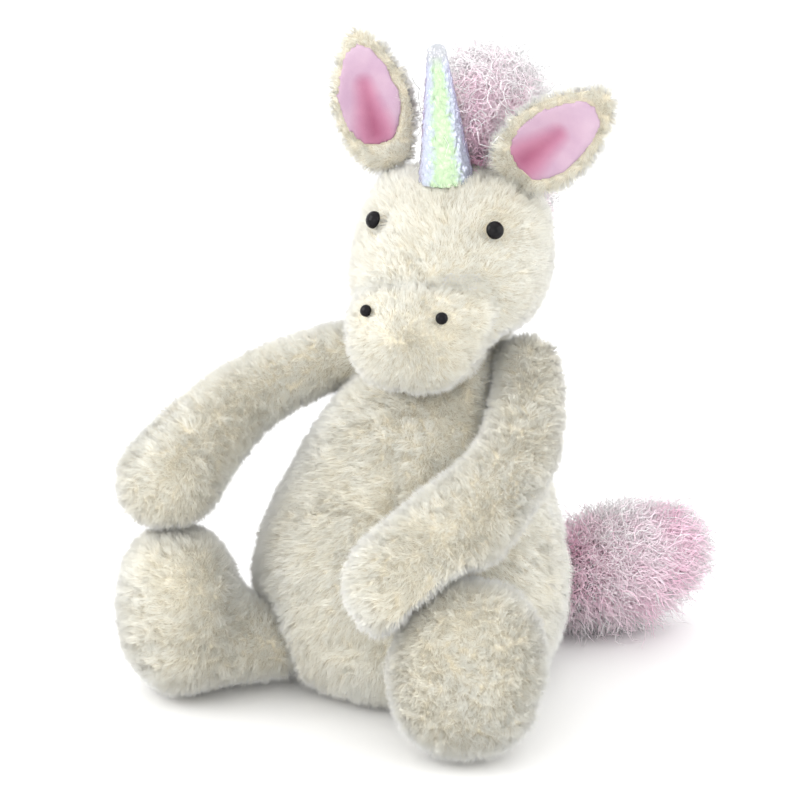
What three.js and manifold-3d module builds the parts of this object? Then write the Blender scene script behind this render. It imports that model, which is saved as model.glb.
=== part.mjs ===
/**
 * A seated plush unicorn, in millimetres, +Z up, facing -Y.
 * The origin is on the floor under the middle of the torso, and +X is the toy's own left.
 * Every fur piece is a sewn cover of pile fabric with its own stuffing inside.
 */
import * as THREE from 'three';
import { mergeVertices } from 'three/addons/utils/BufferGeometryUtils.js';
import Module from 'manifold-3d';

const wasm = await Module();
wasm.setup();

// Fabric and clearances
const PILE_FABRIC = 5;
const GAP = 0.35;
const PRESSED_GAP = 0.6;
const RELIEF_SIDES = 8;
const RELIEF_EXTRA = 1.6;
const CHIN_CREASE = 3;
const INSIDE = PILE_FABRIC + GAP;
const BIG = 400;

// Smoothness of the round bodies
const BODY_SIDES = 16;
const LIMB_SIDES = 12;
const CAP_RINGS = 3;
const PATH_RINGS = 5;
const BALL_SIDES = 16;
const INSIDE_FEWER = 4;

// Torso: height, centre x, centre y, half width, half depth
const TORSO_RINGS = [
  [0, 0, -2, 55, 49],
  [8, 0, -2, 63, 57],
  [24, 0, -2, 69, 62],
  [44, 0, 0, 70, 63],
  [62, 0, 1, 66.5, 60],
  [80, 1, 4, 60, 54],
  [97, 2, 8, 53, 47.5],
  [115, 4, 12, 45, 41],
  [129, 6, 18, 37, 34],
  [141, 7, 24, 28, 26],
  [149, 8, 27, 15, 14],
];
const TORSO_TOP = [152, 8, 28];
const SEAT_BAG_HEIGHT = 24;

// Neck: a stuffed ball sewn between the torso and the head
const NECK = [8, 28, 145];
const NECK_RADIUS = 20;
const NECK_SOCKET_RADIUS = 22;
const HEAD_TURN_STEPS = [-18, 0, 18];

// Head, from the nape forward: y, centre height, half width, half height
const HEAD_X = 10;
const HEAD_BACK = [62, 184];
const HEAD_RINGS = [
  [60, 184, 12, 10],
  [54, 184, 24, 20],
  [40, 183, 38, 33],
  [24, 180, 43, 37.5],
  [8, 177, 42.5, 37],
  [-5, 170, 37, 34],
  [-18, 156, 31, 28],
  [-30, 151, 26, 21],
  [-36, 151, 15, 12],
];
const HEAD_FULLNESS = 2.5;
const HEAD_FRONT = [-38.5, 151];
const MUZZLE = [10, -12, 151];
const MUZZLE_RADII = [32, 27, 24.5];

// Safety eyes and nostrils: bead radius, height above the fur backing, stem and washer
const EYE = { radius: 4.9, rise: 4.6, stem: 1.2, depth: 12 };
const NOSTRIL = { radius: 3.3, rise: 3, stem: 1.1, depth: 11 };
const BEAD_SINK = 1.2;
const WASHER_RADIUS = 5;
const WASHER_THICK = 1.2;
const WASHER_DEPTH = PILE_FABRIC + 1.6;
const FACE_X = 12.5;
const EYE_SPREAD = 26.8;
const EYE_HEIGHT = 196;
const NOSTRIL_SPREAD = 16.8;
const NOSTRIL_HEIGHT = 164.5;

// Horn: a stuffed cone of film fabric
const HORN_BASE = [9.5, 13, 213];
const HORN_TIP = [9.5, 3, 268];
const HORN_BASE_RADIUS = 11.8;
const HORN_TIP_RADIUS = 3.2;
const HORN_FILM = 1;
const HORN_ROOT = 9;

// Mane: curls on a strip sewn from behind the horn down to the nape
const MANE_PUFFS = [
  { centre: [13, 31, 234], radius: 15 },
  { centre: [15, 42, 239], radius: 21 },
  { centre: [14, 57, 223], radius: 18 },
];
const MANE_FALL_PATH = [[14, 62, 212], [12, 71, 188], [11, 70, 162]];
const MANE_FALL_RADII = [15, 12.5, 10];
const MANE_STRIP_WIDTH = 15;
const MANE_STRIP_THICK = 2;

// Ears: half width and half thickness along the length, from the base (0) to the tip (1)
const EAR_BACK_RINGS = [
  [0.00, 10.5, 3.2], [0.12, 15.0, 4.4], [0.30, 18.6, 4.6], [0.48, 18.2, 4.4],
  [0.66, 15.2, 4.1], [0.82, 10.6, 3.7], [0.94, 5.8, 2.8],
];
const EAR_LINING_RINGS = [
  [0.10, 8.2, 1.0], [0.20, 11.8, 1.3], [0.34, 14.2, 1.4], [0.50, 13.6, 1.4],
  [0.66, 10.6, 1.3], [0.80, 6.8, 1.1],
];
const EAR_LENGTH = 54;
const EAR_CUP = 0.016;
const EAR_LINING_LIFT = 3.9;
const EARS = {
  right: { base: [-23, 22, 219], tip: [-39, 25, 269], front: [0.25, -1, 0.05], fold: [1, 0, 0] },
  left: { base: [37, 20, 217], tip: [75, 20, 247], front: [0.05, -1, -0.25], fold: [0.6, 0, -0.8] },
};
const EAR_FOLD_STEPS = [-12, 0, 12];

// Arms: the path of the middle line from the shoulder ball to the paw, and its radii
const ARMS = {
  right: {
    path: [[-25, 18, 134], [-43, 11, 131], [-60, -3, 124], [-72, -20, 115], [-79, -41, 102],
      [-83, -60, 89]],
    radii: [15, 15.5, 16.5, 18, 20.5, 23],
  },
  left: {
    path: [[44, 20, 136], [52, 3, 123], [59.5, -29, 104], [49, -60, 88], [36, -77, 69.5]],
    radii: [15, 16.5, 18, 21, 24.5],
  },
};
const PAW_REST_HEIGHT = 71.4;

// Legs: hip ball, ankle and foot
const LEGS = {
  left: { hip: [40, -42, 18.5], foot: [60.5, -70, 36], splay: 36, lean: 6, top: 74 },
  right: { hip: [-44, -41, 18.5], foot: [-75, -66, 36], splay: -46, lean: 0, top: 69.6 },
};
const HIP_RADIUS = 17.5;
const SHIN_RADIUS = 22;
const ANKLE_RADIUS = 25;
const FOOT_RADII = [32, 26.5, 37];
const FOOT_FULLNESS = 2.25;
const FOOT_BAG_HEIGHT = 20;
const LEG_SPREAD_STEPS = [0, 16];

// Tail: a stuffed core with a shaggy pile around it
const TAIL_ROOT = [25, 54, 28];
const TAIL_PATH = [[25, 54, 28], [40, 66, 26], [54, 77, 27], [68, 88, 31]];
const TAIL_CORE_RADII = [9, 8.5, 8, 7];
const TAIL_PILE_PATH = [[45, 71, 27], [54, 79, 28], [64, 87, 31], [73, 94, 34]];
const TAIL_PILE_RADII = [21, 26, 28, 24];
const TAIL_WAG_STEPS = [-24, -7, 10];

// Colours
const CREAM = 0xe9e5d6;
const BLUSH = 0xf3c6e0;
const ROSE = 0xe59cc4;
const FILM = 0xb9e8c0;
const JET = 0x0b0b0c;
const FIBRE = 0xf7f7f4;
const PELLET = 0xd9d9d6;

function vector(list) {
  return new THREE.Vector3(list[0], list[1], list[2]);
}

/** A closed mesh as a solid that can be joined and cut. */
function solid(geometry) {
  const bare = geometry.clone();
  bare.deleteAttribute('normal');
  bare.deleteAttribute('uv');
  const merged = mergeVertices(bare, 1e-4);
  const index = merged.index.array;
  const triangles = [];
  for (let i = 0; i < index.length; i += 3) {
    const [a, b, c] = [index[i], index[i + 1], index[i + 2]];
    if (a !== b && b !== c && c !== a) {
      triangles.push(a, b, c);
    }
  }
  return new wasm.Manifold(new wasm.Mesh({
    numProp: 3,
    vertProperties: new Float32Array(merged.attributes.position.array),
    triVerts: new Uint32Array(triangles),
  }));
}

/** A solid's triangles as a geometry again. */
function geometryOf(body) {
  const mesh = body.getMesh();
  const geometry = new THREE.BufferGeometry();
  geometry.setAttribute('position', new THREE.BufferAttribute(mesh.vertProperties, 3));
  geometry.setIndex(new THREE.BufferAttribute(mesh.triVerts, 1));
  geometry.computeVertexNormals();
  return geometry;
}

/** How many sides a body has: its hidden inner surfaces have fewer. */
function sidesAt(inset, sides) {
  return inset > 0 ? sides - INSIDE_FEWER : sides;
}

/** A round coordinate pushed out towards a square one: 2 keeps the circle. */
function fuller(value, fullness) {
  return Math.sign(value) * Math.abs(value) ** (2 / fullness);
}

/** A closed skin over rings, each with a centre and its two half-axis vectors. */
function skin(rings, sides, fullness = 2) {
  const rows = rings.length - 1;
  const geometry = new THREE.SphereGeometry(1, sides, rows);
  const position = geometry.attributes.position;
  const point = new THREE.Vector3();
  rings.forEach((ring, row) => {
    for (let column = 0; column <= sides; column += 1) {
      const turn = (2 * Math.PI * (column % sides)) / sides;
      point.copy(ring.centre);
      point.addScaledVector(ring.side, fuller(Math.cos(turn), fullness));
      point.addScaledVector(ring.up, -fuller(Math.sin(turn), fullness));
      position.setXYZ(row * (sides + 1) + column, point.x, point.y, point.z);
    }
  });
  return geometry;
}

/** A limb with round ends, along a smooth path with a radius at each of its points. */
function limb(path, radii, inset, sides = LIMB_SIDES) {
  const curve = new THREE.CatmullRomCurve3(path.map(vector));
  const widths = new THREE.CatmullRomCurve3(radii.map((radius) => vector([radius, 0, 0])));
  const upright = new THREE.Vector3(0, 0, 1);
  const rings = [];
  const addRing = (t, along, scale) => {
    const radius = widths.getPoint(t).x - inset;
    const tangent = curve.getTangent(t);
    const side = upright.clone().cross(tangent).normalize();
    const up = tangent.clone().cross(side);
    rings.push({
      centre: curve.getPoint(t).addScaledVector(tangent, along * radius),
      side: side.multiplyScalar(radius * scale),
      up: up.multiplyScalar(radius * scale),
    });
  };
  for (let i = 0; i < CAP_RINGS; i += 1) {
    const angle = (Math.PI / 2) * (i / CAP_RINGS);
    addRing(0, -Math.cos(angle), Math.sin(angle));
  }
  for (let i = 0; i <= PATH_RINGS; i += 1) {
    addRing(i / PATH_RINGS, 0, 1);
  }
  for (let i = CAP_RINGS - 1; i >= 0; i -= 1) {
    const angle = (Math.PI / 2) * (i / CAP_RINGS);
    addRing(1, Math.cos(angle), Math.sin(angle));
  }
  return skin(rings, sidesAt(inset, sides));
}

function ball(centre, radius, sides = 12) {
  const geometry = new THREE.SphereGeometry(radius, sides, sides / 2);
  return geometry.translate(centre[0], centre[1], centre[2]);
}

/** A ball with three half-axes, a little squared when its fullness is over 2. */
function ellipsoid(centre, radii, inset, fullness = 2) {
  const sides = sidesAt(inset, BALL_SIDES);
  const geometry = new THREE.SphereGeometry(1, sides, sides / 2 + 1);
  geometry.rotateX(Math.PI / 2);
  const position = geometry.attributes.position;
  const point = new THREE.Vector3();
  for (let i = 0; i < position.count; i += 1) {
    point.fromBufferAttribute(position, i);
    const sum = ['x', 'y', 'z'].reduce((part, k) => part + Math.abs(point[k]) ** fullness, 0);
    point.multiplyScalar(sum ** (-1 / fullness));
    position.setXYZ(i, point.x, point.y, point.z);
  }
  geometry.scale(radii[0] - inset, radii[1] - inset, radii[2] - inset);
  return geometry.translate(centre[0], centre[1], centre[2]);
}

/** Everything between two heights. */
function slab(low, high) {
  return new THREE.BoxGeometry(BIG, BIG, high - low).translate(0, 0, (low + high) / 2);
}

/** A turned piece about +Y, from points of radius and height. */
function turnedPiece(points, sides) {
  return new THREE.LatheGeometry(points.map(([x, y]) => new THREE.Vector2(x, y)), sides);
}

/** The matrix that stands a turned piece on a point with its +Y along a direction. */
function standing(point, direction) {
  const turn = new THREE.Quaternion();
  turn.setFromUnitVectors(new THREE.Vector3(0, 1, 0), direction.clone().normalize());
  return new THREE.Matrix4().compose(point, turn, new THREE.Vector3(1, 1, 1));
}

/** A copy of a geometry turned in degrees about an axis through a pivot. */
function swung(geometry, pivot, axis, degrees) {
  const centre = vector(pivot);
  const turn = new THREE.Matrix4().makeRotationAxis(
    vector(axis).normalize(),
    THREE.MathUtils.degToRad(degrees),
  );
  const back = new THREE.Matrix4().makeTranslation(-centre.x, -centre.y, -centre.z);
  const forth = new THREE.Matrix4().makeTranslation(centre.x, centre.y, centre.z);
  return geometry.clone().applyMatrix4(forth.multiply(turn).multiply(back));
}

/** The joined space that a geometry fills as it swings through the given angles. */
function swept(geometry, pivot, axis, angles) {
  return joined(angles.map((angle) => solid(swung(geometry, pivot, axis, angle))));
}

function joined(bodies) {
  return bodies.reduce((whole, body) => whole.add(body));
}

function without(body, cutters) {
  return cutters.reduce((rest, cutter) => rest.subtract(cutter), body);
}

// ---------------------------------------------------------------- basic forms

function torsoForm(inset, sides = BODY_SIDES) {
  const bottom = Math.max(inset, 0);
  const rings = TORSO_RINGS.map(([z, x, y, width, depth]) => ({
    centre: new THREE.Vector3(x, y, Math.max(z, bottom)),
    side: new THREE.Vector3(width - inset, 0, 0),
    up: new THREE.Vector3(0, depth - inset, 0),
  }));
  const flat = new THREE.Vector3();
  const [topZ, topX, topY] = TORSO_TOP;
  const first = { centre: new THREE.Vector3(0, -2, bottom), side: flat, up: flat };
  const last = { centre: new THREE.Vector3(topX, topY, topZ - inset), side: flat, up: flat };
  if (inset > 0) {
    rings.splice(0, 1);
    rings[0].centre.z = bottom;
    rings[0].side.x -= 2;
    rings[0].up.y -= 2;
  }
  return skin([first, ...rings, last], sidesAt(inset, sides));
}

function headForm(inset) {
  const flat = new THREE.Vector3();
  const tip = ([y, z], shift) => ({
    centre: new THREE.Vector3(HEAD_X, y + shift, z),
    side: flat,
    up: flat,
  });
  const rings = HEAD_RINGS.map(([y, z, width, height]) => ({
    centre: new THREE.Vector3(HEAD_X, y - Math.sign(y) * inset * (width < 20 ? 0.8 : 0.15), z),
    side: new THREE.Vector3(width - inset * (width < 20 ? 0.7 : 1), 0, 0),
    up: new THREE.Vector3(0, 0, height - inset * (width < 20 ? 0.7 : 1)),
  }));
  const ends = [tip(HEAD_BACK, -inset), tip(HEAD_FRONT, inset)];
  const sides = sidesAt(inset, BODY_SIDES);
  const skull = skin([ends[0], ...rings, ends[1]], sides, HEAD_FULLNESS);
  return solid(skull).add(solid(ellipsoid(MUZZLE, MUZZLE_RADII, inset)));
}

function footForm(leg, inset) {
  const geometry = ellipsoid([0, 0, 0], FOOT_RADII, inset, FOOT_FULLNESS);
  geometry.rotateY(THREE.MathUtils.degToRad(leg.lean));
  geometry.rotateZ(THREE.MathUtils.degToRad(leg.splay));
  return geometry.translate(leg.foot[0], leg.foot[1], leg.foot[2]);
}

function shinForm(leg, inset, sides = LIMB_SIDES) {
  const along = (part, height) => [
    THREE.MathUtils.lerp(leg.hip[0], leg.foot[0], part),
    THREE.MathUtils.lerp(leg.hip[1], leg.foot[1], part),
    height,
  ];
  const path = [leg.hip, along(0.45, SHIN_RADIUS), along(0.85, ANKLE_RADIUS + 4)];
  return limb(path, [HIP_RADIUS, SHIN_RADIUS, ANKLE_RADIUS], inset, sides);
}

function legForm(leg, inset) {
  const whole = solid(shinForm(leg, inset)).add(solid(footForm(leg, inset)));
  return whole.intersect(solid(slab(Math.max(inset, 0), leg.top - inset)));
}

function legSweep(leg, gap) {
  const shin = shinForm(leg, -gap - RELIEF_EXTRA, RELIEF_SIDES);
  const direction = Math.sign(leg.foot[0]);
  const angles = LEG_SPREAD_STEPS.map((step) => step * direction);
  return swept(shin, leg.hip, [0, 0, 1], angles);
}

/** An ear layer built flat, width along X and length along Y, then cupped about its length. */
function earLayer(rings, lift, grow, roundTip) {
  const flat = new THREE.Vector3();
  const last = rings[rings.length - 1][0];
  const tipLength = (last + roundTip) * EAR_LENGTH + grow;
  const startLength = (rings[0][0] - 0.05) * EAR_LENGTH - grow;
  const layers = rings.map(([t, width, thick]) => ({
    centre: new THREE.Vector3(0, t * EAR_LENGTH, lift),
    side: new THREE.Vector3(width + grow, 0, 0),
    up: new THREE.Vector3(0, 0, -thick - grow),
  }));
  const start = { centre: new THREE.Vector3(0, startLength, lift), side: flat, up: flat };
  const end = { centre: new THREE.Vector3(0, tipLength, lift), side: flat, up: flat };
  const geometry = skin([start, ...layers, end], 10);
  const position = geometry.attributes.position;
  for (let i = 0; i < position.count; i += 1) {
    position.setZ(i, position.getZ(i) + EAR_CUP * position.getX(i) ** 2);
  }
  return geometry;
}

function earPlace(ear) {
  const length = vector(ear.tip).sub(vector(ear.base)).normalize();
  const front = vector(ear.front);
  front.addScaledVector(length, -front.dot(length)).normalize();
  const width = length.clone().cross(front);
  const place = new THREE.Matrix4().makeBasis(width, length, front);
  return place.setPosition(vector(ear.base));
}

function tailCoreForm(inset) {
  return limb(TAIL_PATH, TAIL_CORE_RADII, inset, 8);
}

function armForm(side, inset, sides = LIMB_SIDES) {
  return limb(ARMS[side].path, ARMS[side].radii, inset, sides);
}

function armRelief(side) {
  return armForm(side, -PRESSED_GAP - RELIEF_EXTRA, RELIEF_SIDES);
}

// ---------------------------------------------------------------- head fittings

const headOuter = headForm(0);
const headInner = headForm(PILE_FABRIC);
const headFilling = headForm(INSIDE);
const headSurface = new THREE.Mesh(
  geometryOf(headOuter),
  new THREE.MeshStandardMaterial({ side: THREE.DoubleSide }),
);

/** The point and the outward direction where a bead sits, seen from the front. */
function faceSeat(x, z) {
  const ray = new THREE.Raycaster(new THREE.Vector3(x, -BIG, z), new THREE.Vector3(0, 1, 0));
  const hit = ray.intersectObject(headSurface)[0];
  const outward = hit.face.normal.clone();
  const middle = new THREE.Vector3(HEAD_X, 20, z - 8);
  const away = hit.point.clone().sub(middle).normalize();
  return { point: hit.point, outward: outward.add(away).normalize() };
}

function bead(size, seat, grow) {
  const { radius, rise, stem, depth } = size;
  const sink = -BEAD_SINK - grow;
  const profile = [
    [0, -depth - grow],
    [stem + grow, -depth - grow],
    [stem + grow, sink],
    [radius * 0.9 + grow, sink],
    [radius + grow, sink + 1.2],
    [radius * 0.92 + grow, rise * 0.42],
    [radius * 0.66 + grow, rise * 0.78 + grow],
    [radius * 0.3 + grow, rise * 0.97 + grow],
    [0, rise + grow],
  ];
  return turnedPiece(profile, 8).applyMatrix4(standing(seat.point, seat.outward));
}

function washer(size, seat, grow) {
  const hole = size.stem + 0.4 - grow;
  const [low, high] = [-WASHER_DEPTH - WASHER_THICK - grow, -WASHER_DEPTH + grow];
  const profile = [
    [hole, low],
    [WASHER_RADIUS + grow, low],
    [WASHER_RADIUS + grow, high],
    [hole, high],
    [hole, low],
  ];
  return turnedPiece(profile, 8).applyMatrix4(standing(seat.point, seat.outward));
}

const beads = [
  { name: 'left_eye', size: EYE, seat: faceSeat(FACE_X + EYE_SPREAD, EYE_HEIGHT) },
  { name: 'right_eye', size: EYE, seat: faceSeat(FACE_X - EYE_SPREAD, EYE_HEIGHT) },
  { name: 'left_nostril', size: NOSTRIL, seat: faceSeat(FACE_X + NOSTRIL_SPREAD, NOSTRIL_HEIGHT) },
  { name: 'right_nostril', size: NOSTRIL, seat: faceSeat(FACE_X - NOSTRIL_SPREAD, NOSTRIL_HEIGHT) },
];
const beadPockets = beads.map(({ size, seat }) => solid(bead(size, seat, 0.3)));
const washerPockets = beads.map(({ size, seat }) => {
  const wide = { ...size, stem: 0.2 };
  return solid(washer(wide, seat, 0.3));
});

function hornForm(inset) {
  const length = vector(HORN_TIP).distanceTo(vector(HORN_BASE));
  const profile = [
    [0, -HORN_ROOT],
    [HORN_BASE_RADIUS + 0.8 - inset, -HORN_ROOT],
    [HORN_BASE_RADIUS - inset, 0],
    [HORN_TIP_RADIUS - inset * 0.9, length - 3],
    [HORN_TIP_RADIUS * 0.6 - inset * 0.6, length - 0.8 - inset],
    [0, length - inset],
  ];
  const direction = vector(HORN_TIP).sub(vector(HORN_BASE));
  return turnedPiece(profile, 12).applyMatrix4(standing(vector(HORN_BASE), direction));
}

// ---------------------------------------------------------------- relief shapes

const earPlaces = Object.fromEntries(
  Object.entries(EARS).map(([side, ear]) => [side, earPlace(ear)]),
);

function earBackForm(side, grow) {
  return earLayer(EAR_BACK_RINGS, 0, grow, 0.06).applyMatrix4(earPlaces[side]);
}

function earLiningForm(side, grow) {
  return earLayer(EAR_LINING_RINGS, EAR_LINING_LIFT, grow, 0.07).applyMatrix4(earPlaces[side]);
}

function earSweep(side) {
  const ear = EARS[side];
  return swept(earBackForm(side, GAP + 0.2), ear.base, ear.fold, EAR_FOLD_STEPS);
}

const earSweeps = Object.keys(EARS).map(earSweep);
const armsPressed = Object.keys(ARMS).map((side) => solid(armRelief(side)));
const legSweeps = Object.values(LEGS).map((leg) => legSweep(leg, PRESSED_GAP));
const tailSweep = swept(tailCoreForm(-PRESSED_GAP), TAIL_ROOT, [0, 0, 1], TAIL_WAG_STEPS);
const neckSocket = solid(ball(NECK, NECK_SOCKET_RADIUS));

/** The torso, and the arms as the head meets them when it turns. */
function shoulderRelief() {
  const sides = Object.keys(ARMS);
  const arms = sides.map((side) => swept(armRelief(side), NECK, [0, 0, 1], HEAD_TURN_STEPS));
  return [solid(torsoForm(-CHIN_CREASE, 12)), ...arms];
}

const shoulders = shoulderRelief();

// ---------------------------------------------------------------- the pieces

const unicorn = new THREE.Group();

function addPiece(group, name, body, colour, roughness, metalness = 0) {
  const material = new THREE.MeshStandardMaterial({ color: colour, roughness, metalness });
  const mesh = new THREE.Mesh(geometryOf(body), material);
  mesh.name = name;
  group.add(mesh);
}

function addBody() {
  const group = new THREE.Group();
  unicorn.add(group);
  return group;
}

function buildTorso() {
  const group = addBody();
  const reliefs = [neckSocket, ...armsPressed, ...legSweeps, tailSweep];
  const cover = without(solid(torsoForm(0)).subtract(solid(torsoForm(PILE_FABRIC))), reliefs);
  const filling = without(solid(torsoForm(INSIDE)), reliefs);
  const bag = filling.intersect(solid(slab(0, SEAT_BAG_HEIGHT)));
  const stuffing = filling.intersect(solid(slab(SEAT_BAG_HEIGHT + GAP, BIG)));
  addPiece(group, 'torso_cover', cover, CREAM, 0.95);
  addPiece(group, 'torso_stuffing', stuffing, FIBRE, 1);
  addPiece(group, 'seat_pellet_bag', bag, PELLET, 0.9);
}

function buildNeck() {
  addPiece(addBody(), 'neck_stuffing', solid(ball(NECK, NECK_RADIUS)), FIBRE, 1);
}

function buildBeads(group) {
  beads.forEach(({ name, size, seat }) => {
    addPiece(group, name, solid(bead(size, seat, 0)), JET, 0.12);
    addPiece(group, `${name}_washer`, solid(washer(size, seat, 0)), PELLET, 0.5);
  });
}

function buildHorn(group) {
  const headSkin = headForm(-GAP);
  const film = without(solid(hornForm(0)), [solid(hornForm(HORN_FILM)), headSkin]);
  const filling = solid(hornForm(HORN_FILM + 0.3)).subtract(headSkin);
  addPiece(group, 'horn_cover', film, FILM, 0.25, 0.35);
  addPiece(group, 'horn_stuffing', filling, FIBRE, 1);
}

function buildMane(group) {
  const horn = solid(hornForm(-GAP - 0.4));
  const behindHorn = new THREE.BoxGeometry(MANE_STRIP_WIDTH, 60, 110).translate(12, 54, 190);
  const strip = headForm(-GAP - MANE_STRIP_THICK).subtract(headForm(-GAP));
  const backing = without(strip.intersect(solid(behindHorn)), [...shoulders, neckSocket]);
  const puffs = MANE_PUFFS.map(({ centre, radius }) => solid(ball(centre, radius)));
  const curls = joined([...puffs, solid(limb(MANE_FALL_PATH, MANE_FALL_RADII, 0))]);
  const pile = without(curls, [headForm(-2 * GAP - MANE_STRIP_THICK), horn, ...earSweeps,
    ...shoulders]);
  addPiece(group, 'mane_backing', backing, ROSE, 0.9);
  addPiece(group, 'mane_pile', pile, BLUSH, 0.85);
}

function buildHead() {
  const group = addBody();
  const reliefs = [neckSocket, ...beadPockets, ...washerPockets, ...earSweeps, ...shoulders];
  addPiece(group, 'head_cover', without(headOuter.subtract(headInner), reliefs), CREAM, 0.95);
  addPiece(group, 'head_stuffing', without(headFilling, reliefs), FIBRE, 1);
  buildBeads(group);
  buildHorn(group);
  buildMane(group);
}

function buildEar(side) {
  const group = addBody();
  const back = solid(earBackForm(side, 0)).subtract(solid(earLiningForm(side, GAP)));
  addPiece(group, `${side}_ear_back`, back, CREAM, 0.95);
  addPiece(group, `${side}_ear_lining`, solid(earLiningForm(side, 0)), ROSE, 0.8);
}

/** What the paw presses on: the foot under it, thickened by a depth into the paw. */
function pawRest(side, depth) {
  if (side === 'left') {
    return legForm(LEGS.left, -2 * PRESSED_GAP - 1.4 * RELIEF_EXTRA - depth);
  }
  const footTop = solid(footForm(LEGS.right, -9 - depth));
  return footTop.intersect(solid(slab(-10, PAW_REST_HEIGHT + depth)));
}

function buildArm(side) {
  const group = addBody();
  const arm = ARMS[side];
  const curve = new THREE.CatmullRomCurve3(arm.path.map(vector));
  const backwards = curve.getTangent(0).multiplyScalar(2 - arm.radii[0]);
  const mouth = vector(arm.path[0]).add(backwards).toArray();
  const layer = (inset) => solid(armForm(side, inset)).subtract(pawRest(side, inset));
  const cover = without(layer(0), [layer(PILE_FABRIC), solid(ball(mouth, 8))]);
  addPiece(group, `${side}_arm_cover`, cover, CREAM, 0.95);
  addPiece(group, `${side}_arm_stuffing`, layer(INSIDE), FIBRE, 1);
}

function buildLeg(side) {
  const group = addBody();
  const leg = LEGS[side];
  const away = vector(leg.hip).sub(vector(leg.foot)).setZ(0).normalize();
  const mouth = vector(leg.hip).addScaledVector(away, HIP_RADIUS).toArray();
  const opening = solid(ball(mouth, 10));
  const cover = without(legForm(leg, 0), [legForm(leg, PILE_FABRIC), opening]);
  const sole = solid(slab(0, FOOT_BAG_HEIGHT));
  const bag = solid(footForm(leg, INSIDE)).intersect(legForm(leg, INSIDE)).intersect(sole);
  const bagSpace = solid(footForm(leg, PILE_FABRIC - 0.1));
  const lower = bagSpace.intersect(solid(slab(0, FOOT_BAG_HEIGHT + GAP)));
  const stuffing = legForm(leg, INSIDE).subtract(lower);
  addPiece(group, `${side}_leg_cover`, cover, CREAM, 0.95);
  addPiece(group, `${side}_leg_stuffing`, stuffing, FIBRE, 1);
  addPiece(group, `${side}_foot_pellet_bag`, bag, PELLET, 0.9);
}

function buildTail() {
  const group = addBody();
  const core = solid(tailCoreForm(0));
  const clear = [solid(tailCoreForm(-GAP)), swept(torsoForm(-CHIN_CREASE, 12), TAIL_ROOT, [0, 0, 1],
    TAIL_WAG_STEPS.map((angle) => -angle))];
  const floor = solid(slab(0, BIG));
  const pile = without(solid(limb(TAIL_PILE_PATH, TAIL_PILE_RADII, 0)), clear);
  addPiece(group, 'tail_core', core, ROSE, 0.9);
  addPiece(group, 'tail_pile', pile.intersect(floor), BLUSH, 0.85);
}

buildTorso();
buildNeck();
buildHead();
Object.keys(EARS).forEach(buildEar);
Object.keys(ARMS).forEach(buildArm);
Object.keys(LEGS).forEach(buildLeg);
buildTail();

export default unicorn;
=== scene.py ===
"""Looks for a seated plush unicorn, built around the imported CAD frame.

Lengths are in metres, in the frame's axes: +Z up, the toy faces -Y, +X is its own left.
Each body gets a fabric skin grown from its CAD pieces, then real strands of pile on it.
"""

import math

import bmesh
import bpy
import numpy as np
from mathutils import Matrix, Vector, kdtree
from mathutils.bvhtree import BVHTree


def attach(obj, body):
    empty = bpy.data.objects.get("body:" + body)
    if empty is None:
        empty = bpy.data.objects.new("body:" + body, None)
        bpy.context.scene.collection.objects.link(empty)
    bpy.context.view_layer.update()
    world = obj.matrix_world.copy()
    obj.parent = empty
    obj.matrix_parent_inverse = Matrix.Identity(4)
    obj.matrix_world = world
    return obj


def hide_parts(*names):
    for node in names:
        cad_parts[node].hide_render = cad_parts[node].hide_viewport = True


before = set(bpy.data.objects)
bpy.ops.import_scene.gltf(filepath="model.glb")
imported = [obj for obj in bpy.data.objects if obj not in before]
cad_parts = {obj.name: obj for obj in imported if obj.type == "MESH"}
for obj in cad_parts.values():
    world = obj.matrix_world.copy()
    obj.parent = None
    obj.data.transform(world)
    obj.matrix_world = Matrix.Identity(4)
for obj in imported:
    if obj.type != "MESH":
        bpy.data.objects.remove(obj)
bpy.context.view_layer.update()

MM = 0.001

# Pile: strands per square millimetre, length and width in millimetres
PILE_DEPTH = 3.0
FEWEST_STRANDS = 40
STRANDS_PER_TUFT = 34
CURL_LEVELS = 10
MOST_FACES = 195000
CLOTH_STEPS = 15
BODY_PILE = {"density": 4.6, "length": 5.6, "width": 0.27}
FACE_PILE = {"density": 6.2, "length": 4.8, "width": 0.25}
LIMB_PILE = {"density": 5.0, "length": 5.4, "width": 0.27}
NECK_PILE = {"density": 6.0, "length": 7.5, "width": 0.27}
EAR_PILE = {"density": 6.5, "length": 5.2, "width": 0.25}

HORN_BASE = Vector((9.5, 13.0, 213.0)) * MM
HORN_TIP = Vector((9.5, 3.0, 268.0)) * MM
HORN_RADII = (11.4 * MM, 3.3 * MM)


# ------------------------------------------------------------------ camera, light, floor


CAMERA_PLACE = Vector((0.3947, -0.7747, 0.3630))
CAMERA_TARGET = Vector((-0.0029, -0.0044, 0.1203))
CAMERA_LENS = 96.975
SENSOR_WIDTH = 36
WORLD_STRENGTH = 1.6
FLOOR_DROP = 0.0004
FLOOR_HALF = 3.0


def add_camera():
    data = bpy.data.cameras.new("camera")
    data.lens = CAMERA_LENS
    data.sensor_width = SENSOR_WIDTH
    camera = bpy.data.objects.new("camera", data)
    bpy.context.collection.objects.link(camera)
    camera.location = CAMERA_PLACE
    aim = CAMERA_TARGET - CAMERA_PLACE
    camera.rotation_euler = aim.to_track_quat("-Z", "Y").to_euler()
    bpy.context.scene.camera = camera


def add_light(name, place, size, power):
    data = bpy.data.lights.new(name, "AREA")
    data.shape = "SQUARE"
    data.size = size
    data.energy = power
    light = bpy.data.objects.new(name, data)
    bpy.context.collection.objects.link(light)
    light.location = place
    aim = Vector((0, 0, 0.1)) - Vector(place)
    light.rotation_euler = aim.to_track_quat("-Z", "Y").to_euler()


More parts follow.
